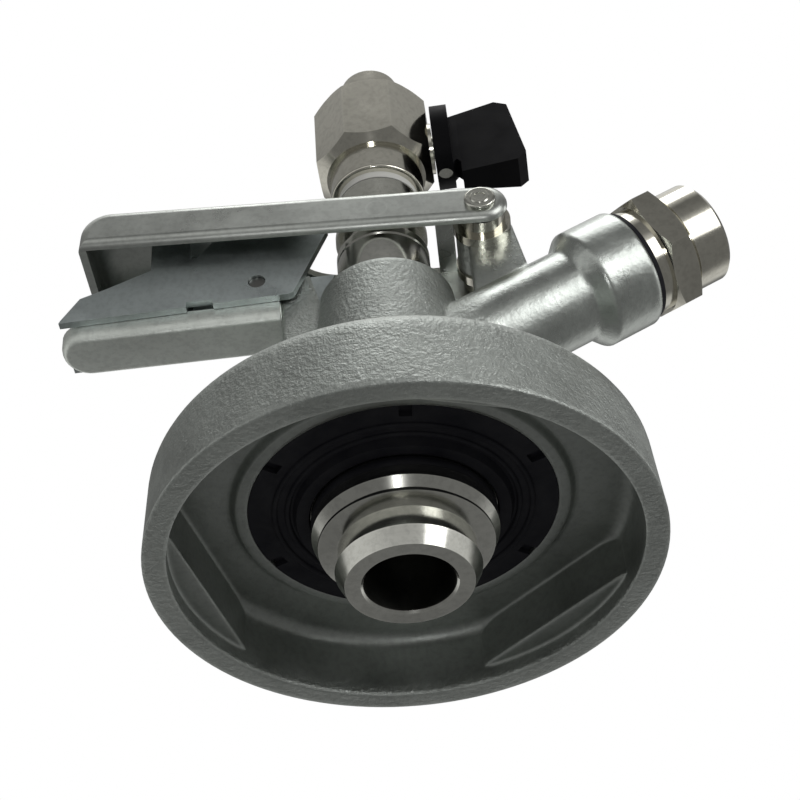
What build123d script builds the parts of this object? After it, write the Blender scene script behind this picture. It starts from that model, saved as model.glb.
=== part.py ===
from build123d import *
import os
from math import cos, radians, sin, sqrt, tan

# Keg coupler with a lever handle, a gas inlet with a check valve and a ball valve on the
# beer outlet. Millimetres, +Z up. The origin is on the probe's axis, in the plane of the
# bell's rim. The lever points along -X and the gas inlet along +X. The lever is down, so
# the probe is in its lowest place, as it is on a tapped keg.

# ---------------------------------------------------------------- driving dimensions
sheet_round = 0.6            # small rounding on sheet and turned edges

# bell and neck of the casting
bell_radius = 44.0
bell_wall = 4.0
bell_height = 16.6           # rim to the shoulder's edge, outside
bell_draft = 0.9             # the outer wall leans in by this much
bell_shoulder_round = 5.0
rim_round = 2.0
roof_height = 12.6           # rim to the roof, inside
lug_count = 3
lug_angle = 48.0             # direction of the first lug from +X
lug_reach = 4.2              # how far a lug stands in from the bell's wall
lug_bottom = 3.4             # rim to the lug's underside
neck_root_radius = 15.4
neck_root_height = 36.0
neck_top_radius = 12.9
neck_height = 60.4
neck_round = 3.2
cone_foot_radius = 22.0      # where the casting starts to rise from the bell's top
cone_foot_height = 21.0
cone_foot_round = 9.0
neck_root_round = 12.0
bell_inner_round = 2.5
lug_crown_step = 1.8         # the lug leans out by this much at its top
lug_crown_drop = 1.5
lug_bite = 0.7               # the lug starts inside the neck's top radius

# probe
probe_tip = -4.8             # tip's height when the lever is down
tip_face_radius = 10.9
nose_radius = 12.4
nose_length = 3.0
waist_radius = 11.8
waist_length = 4.2
shoulder_step = 1.0          # flange's radius down to the shoulder's
shoulder_dish = 0.7
shoulder_length = 0.5
groove_depth = 1.5
flange_radius = 16.0
flange_gap = 2.0             # shoulder to flange, across the groove
flange_length = 2.0
ring_section = 1.3           # O-ring between the two flanges
ring_groove_depth = 2.65
upper_flange_length = 1.6
piston_radius = 13.0
piston_length = 6.2
cone_length = 6.0
tube_radius = 9.0
tube_bore_radius = 6.4
mouth_bore_radius = 7.8
mouth_bore_length = 19.8     # straight part, with its chamfer
mouth_chamfer = 0.4
seat_radius = 4.6
seat_cone_length = 3.0
seat_length = 2.0
ball_radius = 5.5
ball_lift = 5.0
running_clearance = 0.06

# bottom seal
seal_radius = 26.6
seal_flange_thickness = 3.6
seal_flange_bottom = 11.0
seal_throat_clearance = 0.3  # flange to throat when the probe is up
seal_throat_wall = 3.6
seal_throat_height = 18.0
seal_lip_step = 1.5          # throat's outside down to the lip
seal_lip_drop = 1.4
seal_notch_count = 6
seal_notch_angle = -84.0
fit_clearance = 0.1          # pieces that are pushed together and stay together

# gas passage round the probe
passage_low_gap = 1.2        # round the flange, when the probe is up
passage_low_top = 22.2
passage_step = 1.5
passage_mid_gap = 1.3        # round the piston
passage_mid_top = 31.0
passage_radius = 10.6
passage_cone_top = 37.0
neck_seal_length = 2.6
bush_length = 4.6
neck_lip = 2.4               # metal above the guide bush
neck_mouth_gap = 0.5         # probe's tube to the neck's mouth

# gas inlet
inlet_drop = 20.7            # neck's top down to where the inlet's axis meets the probe's
inlet_angle = 27.3           # above horizontal
inlet_tube_radius = 9.2
inlet_tube_end = 39.5        # distances from here on run along the inlet's axis
hub_flare = 2.6
hub_length = 10.0
hub_radius = 11.7
hub_round = 0.8
inlet_bore_radius = 5.0
check_chamber_radius = 7.6
check_chamber_length = 10.5
spigot_radius = 8.6
spigot_length = 5.6
collar_radius = 10.4
collar_length = 2.5
inlet_hex_width = 22.2       # across flats
inlet_hex_length = 5.5
nose_thread_length = 8.3
gas_thread_radius = 10.0     # 20 mm thread, at its crests
gas_bore_radius = 5.2
gas_seat_radius = 3.4
gasket_thickness = 1.0
hex_chamfer = 0.9
poppet_radius = 5.4
poppet_thickness = 1.4
poppet_lift = 1.8
poppet_stem_radius = 1.5
poppet_stem_length = 7.0
poppet_spring_turns = 5.0
gas_relief_depth = 0.5
gas_relief_length = 1.0
gas_end_chamfer = 0.8
inlet_hex_turn = 38.0         # degrees

# lever and its pivot
pivot_x = 19.7
pivot_rise = 14.3            # neck's top to the pivot
lever_tilt = 3.4             # handle end up, when the lever is down
lever_length = 77.0          # pivot to the closed end
collar_side_gap = 1.0        # lift collar to the lever's arms
lever_wall = 1.5
lever_top = 5.0              # pivot's line to the top of the web
lever_bottom = 4.6           # pivot's line to the flanges' edge
lever_eye_radius = 5.2
eye_flat = 0.2               # left straight at the eye's end, above and below
lever_end_round = 5.8
lever_top_round = 2.0
lever_cut_beyond = 19.3      # probe's axis to the end of the cut-out round it
bridge_clearance = 0.5       # strip of web left between the pivot and the probe
bridge_collar_gap = 1.5
lever_swing = 30.0
pin_radius = 2.5
pin_head_radius = 3.0
pin_head_thickness = 1.0
pin_head_round = 0.5
washer_radius = 4.6
stud_radius = 2.0
stud_slack = 0.35            # stud to the collar's groove, above and below
stud_floor_gap = 0.3         # stud's end to the floor of the groove
lift_ring_radius = 9.0
lift_ring_flange = 2.2
lift_groove_radius = 7.6     # floor of the collar's groove
lift_nut_radius = 8.0
lift_nut_gap = 0.4           # nut to the end of the probe's full diameter

# post that carries the pivot
post_half_width = 4.4
post_left = 2.9              # pivot to the post's left side
post_right_top = 5.7         # pivot to the post's right side, at its top and its foot
post_right_foot = 8.9
post_drop = 19.7             # pivot down to the post's foot
boss_radius = 5.2
bush_barrel_radius = 3.6
bush_barrel_length = 3.6
bush_flange_radius = 5.6
bush_flange_thickness = 2.0
arm_gap = 0.25               # washers and bushes to the lever's arms

# fixed grip under the lever, and the latch over it
lug_depth = 6.7              # neck's top radius to the lug's outer face
lug_half_width = 4.6
lug_rise = 6.1               # neck's top to the lug's top
lug_length = 22.5
grip_end = -61.7
grip_half_width = 4.6
grip_step = 6.3              # lug's top down to the grip's flat top
grip_thickness = 4.1
grip_edge = 0.2              # what is left straight over the round underside
ear_half_width = 4.0
ear_foot = 4.2               # latch pin's axis to the ear's foot, and to its top
ear_top = 3.0
tenon_length = 5.6
tenon_half_width = 2.4
tenon_height = 6.5
tenon_rise = 0.4             # grip's top to the tenon's middle
screw_inset = 2.7
screw_radius = 1.25
screw_head_radius = 2.1
screw_head_height = 1.8
screw_length = 15.0
screw_socket = 2.0           # across flats
latch_side_gap = 0.7         # grip to the latch's side plates
latch_wall = 1.5
latch_overlap = 0.9          # side plates reach down past the grip's top
latch_end_inset = 0.7        # grip's end to the latch's
latch_knee_run = 3.3         # hook to the knee
latch_knee_rise = 13.4       # from the side plates' lower edge
latch_front_run = 6.9        # latch's pin to the foot of the slanted front edge
latch_front_slant = 6.9
latch_ear_rise = 17.3
latch_pin_run = 4.2          # lug to the latch's pin, outwards
latch_pin_rise = 4.2         # grip's top to the latch's pin
latch_pin_radius = 1.6
latch_pin_inset = 0.6        # side plate's face to the pin's end
latch_press = 5.0            # degrees, nose down
notch_run = 10.8             # latch's pin to the notch
notch_width = 5.0
notch_depth = 1.6
stop_radius = 1.3
stop_proud = 0.4             # stop pin out of the grip, each side
stop_drop = 1.8
hook_length = 8.8
hook_run = 11.4              # latch's pin to the hook
hook_reach = 1.3             # lip over the lever's web
hook_lip = 1.3
hook_rise = 10.2             # pivot's height to the hook's top
hook_clearance = 0.3         # lip to the slot's edge
hook_side_clearance = 0.4
hook_swing_room = 2.2        # room behind the hook, for the press
web_inset = 3.5              # thumb web in from the latch's end
spring_run = 5.5             # knee to the spring's axis
spring_radius = 2.0
spring_wire = 0.7
spring_drop = 4.8            # knee down to the spring's top
spring_turns = 4.5
seal_ridge_radius = 0.5
seal_ridge_pitch = 2.2
seal_notch_width = 2.2
seal_notch_depth = 2.6
seal_notch_height = 1.2
upper_bore_radius = 4.6
neck_down_radius = 6.9
chamber_top = 70.0
poppet_spring_radius = 3.4
poppet_spring_wire = 0.6

# ball valve on the beer outlet
valve_turn = -2.0           # direction of the valve's stem from +X
tube_rise = 14.3             # pivot's height to the end of the probe's full diameter
thread_radius = 6.58         # G 1/4, between the probe and the valve
outlet_thread_radius = 6.0   # 12 mm thread of the stub, at its crests
outlet_end_chamfer = 1.0
thread_length = 7.2
joint_ring_radius = 8.0
joint_ring_height = 1.6
valve_collar_radius = 9.4
valve_collar_length = 6.8
valve_block_width = 23.0     # across flats
valve_block_sides = 8
valve_block_chamfer = 2.4    # round the block's foot
valve_cone_height = 5.0
valve_stub_length = 6.3
valve_bore_radius = 4.2
outlet_cone_radius = 10.6
cone_step = 0.6              # small land where the cone meets the thread
valve_ball_radius = 7.0
socket_relief = 0.6          # probe's thread to the bottom of its socket
socket_floor = 1.0           # metal between the socket and the ball's chamber
valve_chamber_gap = 0.6
seat_ring_height = 3.0
seat_ring_bore = 4.6
seat_bite = 0.2              # seats reach past the ball's poles by this much
ball_fit = 0.05              # ball to its seats
stem_radius = 2.6
tang_depth = 1.8
tang_width = 3.0
gland_pocket_radius = 4.4
gland_pocket_depth = 3.0
packing_length = 1.4
gland_radius = 5.2
gland_length = 0.6
outlet_spigot_radius = 8.6
outlet_spigot_length = 4.0
handle_hub_radius = 8.6
handle_hub_length = 3.5
handle_gap = 0.3             # gland to hub
handle_neck = 1.6            # hub to paddle
handle_paddle_length = 13.2
handle_drop = 11.1           # stem's axis to the paddle's lower and upper edges
handle_rise = 8.0
handle_paddle_inner = 5.0    # paddle's thickness at the hub side
handle_paddle_outer = 8.0
handle_arch_height = 4.0
handle_top_run = 5.0         # paddle's end to its upper corner
handle_round = 1.1
handle_screw_radius = 1.5

# ---------------------------------------------------------------- places worked out once
rim_z = 0.0
bell_inner_radius = bell_radius - bell_wall
lug_flat_distance = bell_inner_radius - lug_reach
shoulder_radius = flange_radius - shoulder_step
groove_radius = flange_radius - groove_depth
shoulder_z = probe_tip + nose_length + waist_length + shoulder_dish
groove_z = shoulder_z + shoulder_length
flange_z = groove_z + flange_gap
flange_top = flange_z + flange_length
ring_groove_radius = flange_radius - ring_groove_depth
ring_groove_width = 2 * ring_section
ring_groove_top = flange_top + ring_groove_width
upper_flange_top = ring_groove_top + upper_flange_length
piston_top = upper_flange_top + piston_length
tube_z = piston_top + cone_length
mouth_bore_top = probe_tip + mouth_bore_length
seat_z = mouth_bore_top + seat_cone_length
seat_top = seat_z + seat_length
ball_z = seat_top + sqrt(ball_radius**2 - seat_radius**2) + 0.03
ball_stop_z = ball_z + ball_radius + ball_lift + 0.1
seal_recess_radius = seal_radius + fit_clearance
seal_flange_top = seal_flange_bottom + seal_flange_thickness
seal_lip_bottom = seal_flange_bottom - seal_lip_drop
throat_radius = flange_radius + seal_throat_clearance
throat_outer = throat_radius + seal_throat_wall
seal_lip_radius = throat_outer - seal_lip_step
seal_ridge_inner = throat_outer
seal_ridge_outer = seal_ridge_inner + seal_ridge_pitch
passage_low_radius = flange_radius + passage_low_gap
passage_mid_radius = piston_radius + passage_mid_gap
seat_lip_radius = seal_recess_radius + 1.9
guide_radius = tube_radius + running_clearance
bush_top = neck_height - neck_lip
bush_z = bush_top - bush_length
neck_seal_z = bush_z - neck_seal_length

lug_inner_x = lug_bite - neck_top_radius
lug_crown_x = lug_inner_x - lug_crown_step
lug_x = -neck_top_radius - lug_depth
lug_top = neck_height + lug_rise
lug_low = lug_top - lug_length
screw_x = lug_x + screw_inset
grip_top = lug_top - grip_step
grip_low = grip_top - grip_thickness
grip_under_round = grip_thickness - grip_edge
tenon_z = grip_top + tenon_rise

inlet_height = neck_height - inlet_drop
hub_start = inlet_tube_end + hub_flare
hub_end = hub_start + hub_length
inlet_dir = Vector(cos(radians(inlet_angle)), 0, sin(radians(inlet_angle)))
inlet_origin = Vector(0, 0, inlet_height)
inlet_axis = Axis(inlet_origin, inlet_dir)
# local x runs along the inlet, local y across it and upwards
inlet_side = Plane(origin=inlet_origin, x_dir=inlet_dir, z_dir=(0, -1, 0))
# local z runs along the inlet
inlet_face = Plane(origin=inlet_origin, x_dir=(0, 1, 0), z_dir=inlet_dir)
spigot_start = hub_end - spigot_length
check_chamber_start = spigot_start - check_chamber_length
gas_relief_radius = gas_thread_radius - gas_relief_depth
collar_start = hub_end + gasket_thickness
inlet_hex_start = collar_start + collar_length
nose_start = inlet_hex_start + inlet_hex_length
nose_end = nose_start + nose_thread_length
poppet_back = spigot_start - poppet_thickness

pivot_z = neck_height + pivot_rise
tilt = radians(lever_tilt)
lever_dir = Vector(-cos(tilt), 0, sin(tilt))
lever_up = Vector(sin(tilt), 0, cos(tilt))
lever_pivot = Vector(pivot_x, 0, pivot_z)
# local x runs from the pivot towards the handle's end, local y up
lever_side = Plane(origin=lever_pivot, x_dir=lever_dir, z_dir=(0, 1, 0))
# the middle of the web, with local z up
lever_web = Plane(origin=lever_pivot + lever_up * (lever_top - lever_wall / 2),
                  x_dir=lever_dir, z_dir=lever_up)
arm_inner = lift_ring_radius + collar_side_gap
lever_width = 2 * (arm_inner + lever_wall)
lever_eye_round = (lever_top + lever_bottom) / 2 - eye_flat
cut_centre = pivot_x + lever_cut_beyond - arm_inner
bridge_near = boss_radius + bridge_clearance
bridge_far = pivot_x - lift_ring_radius - bridge_collar_gap
washer_start = post_half_width + bush_flange_thickness
washer_end = arm_inner - arm_gap
stud_u = pivot_x / cos(tilt)
stud_z = pivot_z + pivot_x * tan(tilt)
stud_end = lift_groove_radius + stud_floor_gap
lift_groove = 2 * (stud_radius + stud_slack)
lift_ring_z = stud_z - lift_groove / 2 - lift_ring_flange
groove_low = lift_ring_z + lift_ring_flange
groove_high = groove_low + lift_groove
lift_ring_top = groove_high + lift_ring_flange

latch_half_width = grip_half_width + latch_side_gap + latch_wall
latch_pivot_x = lug_x - latch_pin_run
latch_pivot_z = grip_top + latch_pin_rise
latch_end = grip_end + latch_end_inset
latch_low = grip_top - latch_overlap
latch_ear_top = latch_low + latch_ear_rise
latch_front_x = latch_pivot_x + latch_front_run
latch_front_top_x = latch_front_x + latch_front_slant
latch_pin_length = 2 * (latch_half_width - latch_pin_inset)
notch_x = latch_pivot_x - notch_run
stop_z = grip_top - stop_drop
stop_length = 2 * (grip_half_width + stop_proud)
hook_right = latch_pivot_x - hook_run
hook_left = hook_right - hook_length
hook_top = pivot_z + hook_rise
latch_knee_x = hook_right - latch_knee_run
latch_knee_z = latch_low + latch_knee_rise
web_end_x = latch_end + web_inset
spring_x = latch_knee_x - spring_run
spring_height = latch_knee_z - spring_drop - grip_top
hook_y = latch_half_width - latch_wall / 2
slot_far = (pivot_x - hook_left + hook_swing_room) / cos(tilt)
slot_near = (pivot_x - hook_right - hook_clearance) / cos(tilt)
slot_width = latch_wall + 2 * hook_side_clearance

tube_top = pivot_z + tube_rise
valve_collar_z = tube_top + joint_ring_height
socket_top = tube_top + thread_length + socket_relief
valve_ball_height = socket_top + socket_floor + valve_ball_radius - seat_bite
stem_turn = radians(valve_turn)
stem_dir = Vector(cos(stem_turn), sin(stem_turn), 0)
valve_frame = Plane(origin=(0, 0, 0), x_dir=stem_dir, z_dir=(0, 0, 1))
# local x runs out along the stem, local y up
stem_side = Plane(origin=(0, 0, 0), x_dir=stem_dir, z_dir=stem_dir.cross(Vector(0, 0, 1)))
# local z runs out along the stem, local x up
stem_face = Plane(origin=(0, 0, valve_ball_height), x_dir=(0, 0, 1), z_dir=stem_dir)
valve_flat = valve_block_width / 2
valve_half_side = 180 / valve_block_sides
valve_corner = valve_flat / cos(radians(valve_half_side))
valve_collar_top = valve_collar_z + valve_collar_length
valve_chamber_radius = valve_ball_radius + valve_chamber_gap
seat_low = valve_ball_height - valve_ball_radius + seat_bite
seat_high = valve_ball_height + valve_ball_radius - seat_bite
valve_block_top = seat_high + outlet_spigot_length
valve_cone_top = valve_block_top + valve_cone_height
valve_stub_top = valve_cone_top + valve_stub_length
handle_paddle_bottom = valve_ball_height - handle_drop
handle_paddle_top = valve_ball_height + handle_rise
tang_z = valve_ball_radius - tang_depth
hub_face = valve_flat + gland_length + handle_gap
hub_back = hub_face + handle_hub_length
paddle_start = hub_back + handle_neck
paddle_end = paddle_start + handle_paddle_length


def save(piece, name):
    piece.label = name
    export_step(piece, "parts/" + name + ".step")


def ring(outer, inner, z_low, z_high):
    """A plain ring on the probe's axis."""
    with BuildPart() as made:
        with BuildSketch(Plane.XY.offset(z_low)):
            Circle(outer)
            Circle(inner, mode=Mode.SUBTRACT)
        extrude(amount=z_high - z_low)
    return made.part


def inlet_ring(outer, inner, start, end):
    """A plain ring on the inlet's axis."""
    with BuildPart() as made:
        with BuildSketch(inlet_face.offset(start)):
            Circle(outer)
            Circle(inner, mode=Mode.SUBTRACT)
        extrude(amount=end - start)
    return made.part


def stem_ring(outer, inner, start, end):
    """A plain ring on the valve stem's axis."""
    with BuildPart() as made:
        with BuildSketch(stem_face.offset(start)):
            Circle(outer)
            Circle(inner, mode=Mode.SUBTRACT)
        extrude(amount=end - start)
    return made.part


def coil(radius, wire, height, turns):
    """A helical spring of square wire standing on the XY plane."""
    with BuildPart() as made:
        with BuildLine():
            path = Helix(pitch=(height - 1.2 * wire) / turns, height=height - 1.2 * wire,
                         radius=radius, center=(0, 0, 0.6 * wire))
        with BuildSketch(Plane(origin=path @ 0, z_dir=path % 0, x_dir=(1, 0, 0))):
            Rectangle(wire, wire)
        sweep(is_frenet=True)
    return made.part


# ---------------------------------------------------------------- casting
def casting_outside():
    """Bell, cone and neck, turned about the probe's axis, before anything is cut."""
    with BuildPart() as made:
        with BuildSketch(Plane.XZ):
            with BuildLine():
                Polyline(
                    (0, rim_z),
                    (bell_radius, rim_z),
                    (bell_radius - bell_draft, bell_height),
                    (cone_foot_radius, cone_foot_height),
                    (neck_root_radius, neck_root_height),
                    (neck_top_radius, neck_height),
                    (0, neck_height),
                    close=True,
                )
            make_face()
            shoulder = vertices().filter_by(
                lambda v: v.X > cone_foot_radius + 1 and v.Y > bell_height / 2)
            foot = vertices().filter_by(lambda v: abs(v.X - cone_foot_radius) < 0.01)
            root = vertices().filter_by(lambda v: abs(v.X - neck_root_radius) < 0.01)
            crown = vertices().filter_by(lambda v: abs(v.X - neck_top_radius) < 0.01)
            rim = vertices().filter_by(lambda v: abs(v.X - bell_radius) < 0.01)
            fillet(shoulder, bell_shoulder_round)
            fillet(foot, cone_foot_round)
            fillet(root, neck_root_round)
            fillet(crown, neck_round)
            fillet(rim, rim_round)
        revolve(axis=Axis.Z)
    return made.part


def casting_inside():
    """Bell's cavity, seal's seat and the gas passage, as one turned core."""
    with BuildPart() as made:
        with BuildSketch(Plane.XZ):
            with BuildLine():
                Polyline(
                    (0, rim_z - 1),
                    (bell_inner_radius, rim_z - 1),
                    (bell_inner_radius, roof_height),
                    (seat_lip_radius + 1.2, roof_height),
                    (seat_lip_radius, seal_flange_bottom),
                    (seal_recess_radius, seal_flange_bottom),
                    (seal_recess_radius, seal_flange_top),
                    (throat_outer + fit_clearance, seal_flange_top),
                    (throat_outer + fit_clearance, seal_throat_height),
                    (passage_low_radius, seal_throat_height),
                    (passage_low_radius, passage_low_top),
                    (passage_mid_radius, passage_low_top + passage_step),
                    (passage_mid_radius, passage_mid_top),
                    (passage_radius, passage_cone_top),
                    (passage_radius, bush_top),
                    (tube_radius + neck_mouth_gap, bush_top),
                    (tube_radius + neck_mouth_gap, neck_height + 1),
                    (0, neck_height + 1),
                    close=True,
                )
            make_face()
            corner = vertices().filter_by(
                lambda v: abs(v.X - bell_inner_radius) < 0.01 and v.Y > roof_height / 2)
            fillet(corner, bell_inner_round)
        revolve(axis=Axis.Z)
    return made.part


def bell_lugs():
    """Segments inside the bell that turn in under the keg's neck."""
    with BuildPart() as made:
        with BuildSketch(Plane.XY.offset(lug_bottom)):
            Circle(bell_inner_radius + bell_wall / 4)
        extrude(amount=roof_height + bell_wall / 4 - lug_bottom)
        with BuildSketch(Plane.XY.offset(lug_bottom)):
            RegularPolygon(lug_flat_distance, lug_count, major_radius=False,
                           rotation=lug_angle + 180 / lug_count)
        extrude(amount=roof_height, mode=Mode.SUBTRACT)
    return made.part


def neck_lug():
    """Solid lug on the neck that carries the fixed grip."""
    with BuildPart() as made:
        with BuildSketch(Plane.XZ):
            with BuildLine():
                Polyline(
                    (lug_x, lug_low),
                    (lug_x, lug_top),
                    (lug_crown_x, lug_top),
                    (lug_inner_x, neck_height - lug_crown_drop),
                    (lug_inner_x, lug_low),
                    close=True,
                )
            make_face()
        extrude(amount=lug_half_width, both=True)
        fillet(made.edges().filter_by(Axis.Z).group_by(Axis.X)[0], 1.0)
    return made.part


def pivot_post():
    """Post on the inlet tube, with the round boss that holds the lever's pin."""
    with BuildPart() as made:
        with BuildSketch(Plane.XZ):
            with BuildLine():
                Polyline(
                    (pivot_x - post_left, inlet_height + inlet_tube_radius),
                    (pivot_x - post_left, pivot_z),
                    (pivot_x + post_right_top, pivot_z),
                    (pivot_x + post_right_foot, pivot_z - post_drop),
                    (pivot_x + post_right_foot, inlet_height + inlet_tube_radius),
                    close=True,
                )
            make_face()
            with Locations((pivot_x, pivot_z)):
                Circle(boss_radius)
        extrude(amount=post_half_width, both=True)
    return made.part


def inlet_outside():
    """Inlet tube and its hub, turned about the inlet's axis."""
    with BuildPart() as made:
        with BuildSketch(inlet_side):
            with BuildLine():
                Polyline(
                    (0, 0),
                    (0, inlet_tube_radius),
                    (inlet_tube_end, inlet_tube_radius),
                    (hub_start, hub_radius),
                    (hub_end, hub_radius),
                    (hub_end, 0),
                    close=True,
                )
            make_face()
            hub_corners = vertices().filter_by(lambda v: abs(v.Y - hub_radius) < 0.01)
            fillet(hub_corners, hub_round)
        revolve(axis=inlet_axis)
    return made.part


def inlet_inside():
    """Gas way, check valve's chamber and the adapter's socket."""
    with BuildPart() as made:
        with BuildSketch(inlet_side):
            with BuildLine():
                Polyline(
                    (0, 0),
                    (0, inlet_bore_radius),
                    (check_chamber_start, inlet_bore_radius),
                    (check_chamber_start, check_chamber_radius),
                    (spigot_start, check_chamber_radius),
                    (spigot_start, spigot_radius),
                    (hub_end + 1, spigot_radius),
                    (hub_end + 1, 0),
                    close=True,
                )
            make_face()
        revolve(axis=inlet_axis)
    return made.part


with BuildPart() as body:
    add(casting_outside())
    add(inlet_outside())
    add(pivot_post())
    add(neck_lug())
    add(casting_inside(), mode=Mode.SUBTRACT)
    add(inlet_inside(), mode=Mode.SUBTRACT)
    add(bell_lugs())
    # bore for the pivot bushes
    with BuildSketch(Plane.XZ):
        with Locations((pivot_x, pivot_z)):
            Circle(bush_barrel_radius)
    extrude(amount=post_half_width, both=True, mode=Mode.SUBTRACT)
    # slot for the grip's tenon, and its screw's hole from the lug's top
    with Locations((lug_x, 0, tenon_z)):
        Box(2 * tenon_length, 2 * tenon_half_width, tenon_height, mode=Mode.SUBTRACT)
    with Locations((screw_x, 0, lug_top)):
        CounterBoreHole(screw_radius, screw_head_radius, screw_head_height + 0.2,
                        depth=screw_length)

with BuildPart() as bottom_seal:
    with BuildSketch(Plane.XZ):
        with BuildLine():
            Polyline(
                (throat_radius, seal_lip_bottom),
                (seal_lip_radius, seal_lip_bottom),
                (seal_lip_radius + 0.6, seal_flange_bottom),
                (seal_radius, seal_flange_bottom),
                (seal_radius, seal_flange_top),
                (throat_outer, seal_flange_top),
                (throat_outer, seal_throat_height),
                (throat_radius, seal_throat_height),
                close=True,
            )
        make_face()
        # two ridges that press on the keg's valve seat
        with Locations((seal_ridge_inner, seal_flange_bottom), (seal_ridge_outer, seal_flange_bottom)):
            Circle(seal_ridge_radius)
    revolve(axis=Axis.Z)
    with BuildSketch(Plane.XY.offset(seal_flange_bottom)):
        with PolarLocations(seal_radius, seal_notch_count, seal_notch_angle):
            Rectangle(2 * seal_notch_depth, seal_notch_width)
    extrude(amount=seal_notch_height, mode=Mode.SUBTRACT)

# ---------------------------------------------------------------- probe and its pieces
with BuildPart() as probe:
    with BuildSketch(Plane.XZ):
        with BuildLine():
            Polyline(
                (mouth_bore_radius + mouth_chamfer, probe_tip),
                (tip_face_radius, probe_tip),
                (nose_radius, probe_tip + nose_length),
                (waist_radius, probe_tip + nose_length + 0.2),
                (waist_radius, shoulder_z - shoulder_dish),
                (shoulder_radius, shoulder_z),
                (shoulder_radius, groove_z),
                (groove_radius, groove_z + 0.2),
                (groove_radius, flange_z - (flange_radius - groove_radius)),
                (flange_radius, flange_z),
                (flange_radius, flange_top),
                (ring_groove_radius, flange_top),
                (ring_groove_radius, ring_groove_top),
                (flange_radius, ring_groove_top),
                (flange_radius, upper_flange_top),
                (piston_radius, upper_flange_top),
                (piston_radius, piston_top),
                (tube_radius, tube_z),
                (tube_radius, lift_ring_z),
                (neck_down_radius, lift_ring_z),
                (neck_down_radius, tube_top),
                (thread_radius, tube_top),
                (thread_radius, tube_top + thread_length),
                (upper_bore_radius, tube_top + thread_length),
                (upper_bore_radius, chamber_top + 1.5),
                (tube_bore_radius, chamber_top),
                (tube_bore_radius, seat_top + 1),
                (seat_radius, seat_top),
                (seat_radius, seat_z),
                (mouth_bore_radius, mouth_bore_top),
                (mouth_bore_radius, probe_tip + mouth_chamfer),
                close=True,
            )
        make_face()
    revolve(axis=Axis.Z)

with BuildPart() as probe_o_ring:
    with BuildSketch(Plane.XZ):
        with Locations((flange_radius - ring_section, flange_top + ring_section)):
            Circle(ring_section)
    revolve(axis=Axis.Z)

guide_bush = ring(passage_radius, guide_radius, bush_z, bush_top)
neck_seal = ring(passage_radius, guide_radius, neck_seal_z, bush_z)

with BuildPart() as lift_collar:
    with BuildSketch(Plane.XZ):
        with BuildLine():
            Polyline(
                (neck_down_radius, lift_ring_z),
                (lift_ring_radius - sheet_round, lift_ring_z),
                (lift_ring_radius, lift_ring_z + sheet_round),
                (lift_ring_radius, groove_low),
                (lift_groove_radius, groove_low),
                (lift_groove_radius, groove_high),
                (lift_ring_radius, groove_high),
                (lift_ring_radius, lift_ring_top - sheet_round),
                (lift_ring_radius - sheet_round, lift_ring_top),
                (neck_down_radius, lift_ring_top),
                close=True,
            )
        make_face()
    revolve(axis=Axis.Z)

lift_nut = ring(lift_nut_radius, neck_down_radius, lift_ring_top, tube_top - lift_nut_gap)

with BuildPart() as check_ball:
    with Locations((0, 0, ball_z)):
        Sphere(ball_radius)

ball_retainer = ring(tube_bore_radius, ball_radius - 1.1, ball_stop_z, ball_stop_z + 1.2)

# ---------------------------------------------------------------- lever and pivot
with BuildPart() as lever:
    with BuildSketch(lever_side):
        with BuildLine():
            Polyline(
                (-lever_eye_radius, -lever_bottom),
                (-lever_eye_radius, lever_top),
                (lever_length, lever_top),
                (lever_length, -lever_bottom),
                close=True,
            )
        make_face()
        fillet(vertices().group_by(Axis.X)[0], lever_eye_round)
        fillet(vertices().group_by(Axis.X)[-1].sort_by(Axis.Y)[-1], lever_end_round)
    extrude(amount=lever_width / 2, both=True)
    top_edges = lever.edges().filter_by(
        lambda e: abs(abs(e.center().Y) - lever_width / 2) < 0.01
        and abs((e.center() - lever_pivot).dot(lever_up) - lever_top) < 0.01)
    fillet(top_edges, lever_top_round)
    # the hollow underneath
    with BuildSketch(lever_side):
        with BuildLine():
            Polyline(
                (-2 * lever_eye_radius, -2 * lever_bottom),
                (-2 * lever_eye_radius, lever_top - lever_wall),
                (lever_length - lever_wall, lever_top - lever_wall),
                (lever_length - lever_wall, -2 * lever_bottom),
                close=True,
            )
        make_face()
        fillet(vertices().group_by(Axis.X)[-1].sort_by(Axis.Y)[-1], lever_end_round - lever_wall)
    extrude(amount=arm_inner, both=True, mode=Mode.SUBTRACT)
    # the web is open round the probe and over the pivot, with a strip left between
    with BuildSketch(lever_web):
        with Locations((cut_centre, 0)):
            Circle(arm_inner)
        with Locations(((bridge_far + cut_centre) / 2, 0)):
            Rectangle(cut_centre - bridge_far, 2 * arm_inner)
        with Locations((bridge_near / 2 - lever_eye_radius, 0)):
            Rectangle(bridge_near + 2 * lever_eye_radius, 2 * arm_inner)
        # two slots that the latch's hooks stand in
        with Locations(((slot_near + slot_far) / 2, hook_y), ((slot_near + slot_far) / 2, -hook_y)):
            SlotOverall(slot_far - slot_near, slot_width)
    extrude(amount=2 * lever_wall, both=True, mode=Mode.SUBTRACT)
    # holes for the pivot pin and the lifting studs
    with BuildSketch(lever_side):
        Circle(pin_radius)
        with Locations((stud_u, 0)):
            Circle(stud_radius)
    extrude(amount=lever_width, both=True, mode=Mode.SUBTRACT)

with BuildPart() as lever_studs:
    for side in (1, -1):
        with BuildSketch(Plane.XZ.offset(side * stud_end)):
            with Locations((0, stud_z)):
                Circle(stud_radius)
        extrude(amount=side * (lever_width / 2 - stud_end))

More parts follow.
